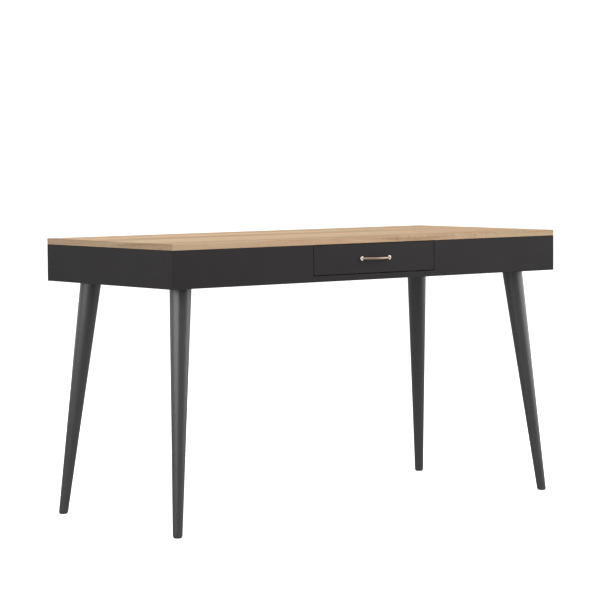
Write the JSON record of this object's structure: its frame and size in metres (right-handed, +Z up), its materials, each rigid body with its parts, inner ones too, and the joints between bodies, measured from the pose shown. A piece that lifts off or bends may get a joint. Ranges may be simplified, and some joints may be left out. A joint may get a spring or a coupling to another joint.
{
  "type": "writing desk",
  "caption": "Writing desk: flat oak top on a charcoal apron box, splayed turned tapered legs and a shallow centre drawer with a bow handle on telescopic slides.",
  "frame": {"origin": "on the floor, under the middle of the bounding box of the desk with its handle", "axes": "+X to the right along the desk's length, +Y from the drawer front to the back, +Z up"},
  "size_m": [1.34, 0.608, 0.75],
  "materials": {
    "oak_veneer": "satin",
    "charcoal_lacquer": "matte",
    "leg_lacquer": "satin",
    "drawer_board": "matte",
    "zinc_steel": "satin",
    "rose_gold": "polished",
    "ball_cage": "satin",
    "black_rubber": "matte"
  },
  "bodies": {
    "desk_frame": {"top_panel": "oak_veneer", "front_apron": "charcoal_lacquer", "back_apron": "charcoal_lacquer", "left_apron": "charcoal_lacquer", "right_apron": "charcoal_lacquer", "drawer_divider_left": "charcoal_lacquer", "drawer_divider_right": "charcoal_lacquer", "drawer_stretcher": "charcoal_lacquer", "leg_rail_left": "charcoal_lacquer", "leg_rail_right": "charcoal_lacquer", "leg_front_left": "leg_lacquer", "leg_front_right": "leg_lacquer", "leg_back_left": "leg_lacquer", "leg_back_right": "leg_lacquer", "leg_plate_front_left": "zinc_steel", "leg_plate_front_right": "zinc_steel", "leg_plate_back_left": "zinc_steel", "leg_plate_back_right": "zinc_steel", "leg_bolt_front_left": "zinc_steel", "leg_bolt_front_right": "zinc_steel", "leg_bolt_back_left": "zinc_steel", "leg_bolt_back_right": "zinc_steel", "corner_bracket_front_left": "zinc_steel", "corner_bracket_front_right": "zinc_steel", "corner_bracket_back_left": "zinc_steel", "corner_bracket_back_right": "zinc_steel", "top_bracket_front_left": "zinc_steel", "top_bracket_front_right": "zinc_steel", "top_bracket_back_left": "zinc_steel", "top_bracket_back_right": "zinc_steel", "slide_outer_left": "zinc_steel", "slide_outer_right": "zinc_steel", "foot_glide_front_left": "black_rubber", "foot_glide_front_right": "black_rubber", "foot_glide_back_left": "black_rubber", "foot_glide_back_right": "black_rubber", "drawer_stop_left": "black_rubber", "drawer_stop_right": "black_rubber"},
    "drawer": {"drawer_front": "charcoal_lacquer", "drawer_side_left": "drawer_board", "drawer_side_right": "drawer_board", "drawer_back": "drawer_board", "drawer_bottom": "drawer_board", "slide_inner_left": "zinc_steel", "slide_inner_right": "zinc_steel", "handle_bow": "rose_gold", "handle_rosette_left": "rose_gold", "handle_rosette_right": "rose_gold", "handle_screw_left": "zinc_steel", "handle_screw_right": "zinc_steel"},
    "slide_middle_left": {"slide_middle_left": "zinc_steel"},
    "outer_cage_left": {"outer_cage_left": "ball_cage"},
    "inner_cage_left": {"inner_cage_left": "ball_cage"},
    "slide_middle_right": {"slide_middle_right": "zinc_steel"},
    "outer_cage_right": {"outer_cage_right": "ball_cage"},
    "inner_cage_right": {"inner_cage_right": "ball_cage"}
  },
  "joints": [
    {"name": "drawer_slide", "type": "slide", "parent": "desk_frame", "child": "drawer", "axis": [0, -1, 0], "range_m": [0, 0.38]},
    {"name": "slide_middle_left_slide", "type": "slide", "parent": "desk_frame", "child": "slide_middle_left", "axis": [0, -1, 0], "range_m": [0, 0.19]},
    {"name": "outer_cage_left_slide", "type": "slide", "parent": "desk_frame", "child": "outer_cage_left", "axis": [0, -1, 0], "range_m": [0, 0.095]},
    {"name": "inner_cage_left_slide", "type": "slide", "parent": "desk_frame", "child": "inner_cage_left", "axis": [0, -1, 0], "range_m": [0, 0.285]},
    {"name": "slide_middle_right_slide", "type": "slide", "parent": "desk_frame", "child": "slide_middle_right", "axis": [0, -1, 0], "range_m": [0, 0.19]},
    {"name": "outer_cage_right_slide", "type": "slide", "parent": "desk_frame", "child": "outer_cage_right", "axis": [0, -1, 0], "range_m": [0, 0.095]},
    {"name": "inner_cage_right_slide", "type": "slide", "parent": "desk_frame", "child": "inner_cage_right", "axis": [0, -1, 0], "range_m": [0, 0.285]}
  ],
  "couplings": [
    {"joint": "slide_middle_left_slide", "follows": "drawer_slide", "ratio": 0.5},
    {"joint": "outer_cage_left_slide", "follows": "drawer_slide", "ratio": 0.25},
    {"joint": "inner_cage_left_slide", "follows": "drawer_slide", "ratio": 0.75},
    {"joint": "slide_middle_right_slide", "follows": "drawer_slide", "ratio": 0.5},
    {"joint": "outer_cage_right_slide", "follows": "drawer_slide", "ratio": 0.25},
    {"joint": "inner_cage_right_slide", "follows": "drawer_slide", "ratio": 0.75}
  ]
}
